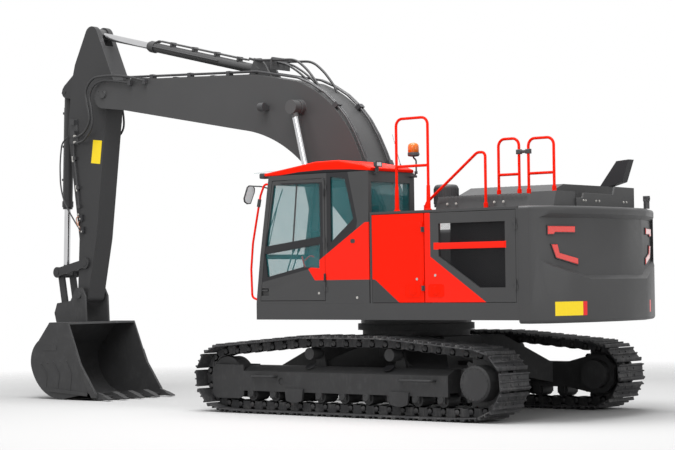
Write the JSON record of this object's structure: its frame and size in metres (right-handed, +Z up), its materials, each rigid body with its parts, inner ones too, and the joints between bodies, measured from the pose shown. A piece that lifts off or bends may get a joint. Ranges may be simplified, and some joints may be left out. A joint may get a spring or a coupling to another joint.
{
  "type": "crawler excavator",
  "caption": "Crawler excavator with a one-piece boom, arm, toothed bucket, left cab, side doors and steel tracks.",
  "frame": {"origin": "the slewing axis where it meets the ground", "axes": "+X from the slewing axis to the bucket, +Y to the machine's left, the cab side, +Z up"},
  "size_m": [9.76, 3.223, 5.4784],
  "materials": {
    "black_rubber": "matt",
    "black_steel": "satin",
    "chrome_rod": "polished",
    "glazing": "clear",
    "grey_paint": "satin",
    "lamp_plastic": "gloss",
    "red_paint": "gloss",
    "seat_cloth": "woven",
    "track_steel": "rough",
    "trim_plastic": "matt"
  },
  "bodies": {
    "undercarriage": {"bottom_rollers": "black_steel", "carrier_rollers": "black_steel", "cross_frame": "black_steel", "final_drives": "black_steel", "idlers": "black_steel", "slew_ring": "black_steel", "sprockets": "black_steel", "track_frame_left": "black_steel", "track_frame_right": "black_steel", "track_left": "track_steel", "track_right": "track_steel"},
    "upper": {"air_precleaner": "trim_plastic", "beacon_and_lamp": "lamp_plastic", "body_shell": "grey_paint", "cab_glass": "glazing", "cab_roof": "red_paint", "cab_shell": "grey_paint", "consoles": "trim_plastic", "counterweight": "grey_paint", "engine_block": "grey_paint", "fuel_tank": "grey_paint", "handrails": "red_paint", "hydraulic_tank": "grey_paint", "left_walkway": "grey_paint", "mirrors": "trim_plastic", "operator_seat": "seat_cloth", "radiator": "grey_paint", "rear_lamps_and_camera": "lamp_plastic", "revolving_frame": "grey_paint", "tool_box": "grey_paint"},
    "boom": {"boom": "grey_paint", "boom_lines": "black_steel", "boom_hoses": "black_rubber", "boom_lamp": "trim_plastic", "tip_hoses": "black_rubber"},
    "boom_barrel_l": {"boom_barrel_left": "grey_paint"},
    "boom_barrel_r": {"boom_barrel_right": "grey_paint"},
    "boom_rod_l": {"boom_rod_left": "chrome_rod"},
    "boom_rod_r": {"boom_rod_right": "chrome_rod"},
    "arm": {"arm": "grey_paint", "arm_lines": "black_steel"},
    "arm_barrel": {"arm_barrel": "grey_paint"},
    "arm_rod": {"arm_rod": "chrome_rod"},
    "bucket": {"bucket": "grey_paint", "bucket_teeth": "grey_paint"},
    "bucket_barrel": {"bucket_barrel": "grey_paint"},
    "bucket_rod": {"bucket_rod": "chrome_rod"},
    "rockers": {"rocker_links": "grey_paint"},
    "link": {"bucket_link": "grey_paint"},
    "cab_door": {"cab_door": "grey_paint", "door_glass": "glazing"},
    "left_front_door": {"left_front_door": "red_paint"},
    "left_grille_door": {"left_grille_door": "grey_paint", "door_grille": "black_steel"},
    "right_side_door": {"right_side_door": "grey_paint"},
    "engine_hood": {"engine_hood": "grey_paint", "exhaust_stack": "grey_paint"}
  },
  "joints": [
    {"name": "slew", "type": "hinge", "parent": "undercarriage", "child": "upper", "pos_m": [0, 0, 1.12], "axis": [0, 0, 1], "continuous": true},
    {"name": "boom_lift", "type": "hinge", "parent": "upper", "child": "boom", "pos_m": [0.25, 0, 1.95], "axis": [0, -1, 0], "range_deg": [-48, 38]},
    {"name": "arm_swing", "type": "hinge", "parent": "boom", "child": "arm", "pos_m": [5.448, 0, 4.434], "axis": [0, -1, 0], "range_deg": [-44, 57]},
    {"name": "bucket_curl", "type": "hinge", "parent": "arm", "child": "bucket", "pos_m": [6.038, 0, 1.51], "axis": [0, -1, 0], "range_deg": [-90, 70]},
    {"name": "boom_barrel_l_tilt", "type": "hinge", "parent": "upper", "child": "boom_barrel_l", "pos_m": [1.02, 0, 1.43], "axis": [0, -1, 0], "range_deg": [-44.19, 35.09]},
    {"name": "boom_rod_l_stroke", "type": "slide", "parent": "boom_barrel_l", "child": "boom_rod_l", "axis": [0.2496, 0, 0.9683], "range_m": [-0.71727, 0.56825]},
    {"name": "boom_barrel_r_tilt", "type": "hinge", "parent": "upper", "child": "boom_barrel_r", "pos_m": [1.02, 0, 1.43], "axis": [0, -1, 0], "range_deg": [-44.19, 35.09]},
    {"name": "boom_rod_r_stroke", "type": "slide", "parent": "boom_barrel_r", "child": "boom_rod_r", "axis": [0.2496, 0, 0.9683], "range_m": [-0.71727, 0.56825]},
    {"name": "arm_barrel_tilt", "type": "hinge", "parent": "boom", "child": "arm_barrel", "pos_m": [2.6, 0, 4.58], "axis": [0, -1, 0], "range_deg": [-6.96, 8.87]},
    {"name": "arm_rod_stroke", "type": "slide", "parent": "arm_barrel", "child": "arm_rod", "axis": [0.9717, 0, 0.2361], "range_m": [-0.82153, 0.63462]},
    {"name": "bucket_barrel_tilt", "type": "hinge", "parent": "arm", "child": "bucket_barrel", "pos_m": [6.47, 0, 4.56], "axis": [0, -1, 0], "range_deg": [-4.2, 3.38]},
    {"name": "bucket_rod_stroke", "type": "slide", "parent": "bucket_barrel", "child": "bucket_rod", "axis": [0.0355, 0, -0.9994], "range_m": [-0.39202, 0.50345]},
    {"name": "rocker_swing", "type": "hinge", "parent": "arm", "child": "rockers", "pos_m": [5.969, 0, 1.982], "axis": [0, -1, 0], "range_deg": [-54.5, 42.5]},
    {"name": "link_swing", "type": "hinge", "parent": "rockers", "child": "link", "pos_m": [6.566, 0, 1.855], "axis": [0, -1, 0], "range_deg": [-25.7, 32.9]},
    {"name": "cab_door_hinge", "type": "hinge", "parent": "upper", "child": "cab_door", "pos_m": [0.2965, 1.475, 1.6], "axis": [0, 0, 1], "range_deg": [0, 150]},
    {"name": "left_front_door_hinge", "type": "hinge", "parent": "upper", "child": "left_front_door", "pos_m": [-1.215, 1.475, 1.6], "axis": [0, 0, 1], "range_deg": [0, 95]},
    {"name": "left_grille_door_hinge", "type": "hinge", "parent": "upper", "child": "left_grille_door", "pos_m": [-2.553, 1.475, 1.6], "axis": [0, 0, 1], "range_deg": [0, 110]},
    {"name": "right_side_door_hinge", "type": "hinge", "parent": "upper", "child": "right_side_door", "pos_m": [-2.553, -1.475, 1.6], "axis": [0, 0, -1], "range_deg": [0, 110]},
    {"name": "engine_hood_hinge", "type": "hinge", "parent": "upper", "child": "engine_hood", "pos_m": [-2.554, 0, 2.512], "axis": [0, -1, 0], "range_deg": [0, 60]}
  ],
  "couplings": [
    {"joint": "boom_barrel_l_tilt", "follows": "boom_lift", "ratio": 0.91024},
    {"joint": "boom_rod_l_stroke", "follows": "boom_lift", "m_per_rad": 0.85379},
    {"joint": "boom_barrel_r_tilt", "follows": "boom_lift", "ratio": 0.91024},
    {"joint": "boom_rod_r_stroke", "follows": "boom_lift", "m_per_rad": 0.85379},
    {"joint": "arm_barrel_tilt", "follows": "arm_swing", "ratio": 0.14685},
    {"joint": "arm_rod_stroke", "follows": "arm_swing", "m_per_rad": -0.82378},
    {"joint": "bucket_barrel_tilt", "follows": "bucket_curl", "ratio": 0.041161},
    {"joint": "bucket_rod_stroke", "follows": "bucket_curl", "m_per_rad": -0.31923},
    {"joint": "rocker_swing", "follows": "bucket_curl", "ratio": 0.6},
    {"joint": "link_swing", "follows": "bucket_curl", "ratio": -0.36}
  ]
}
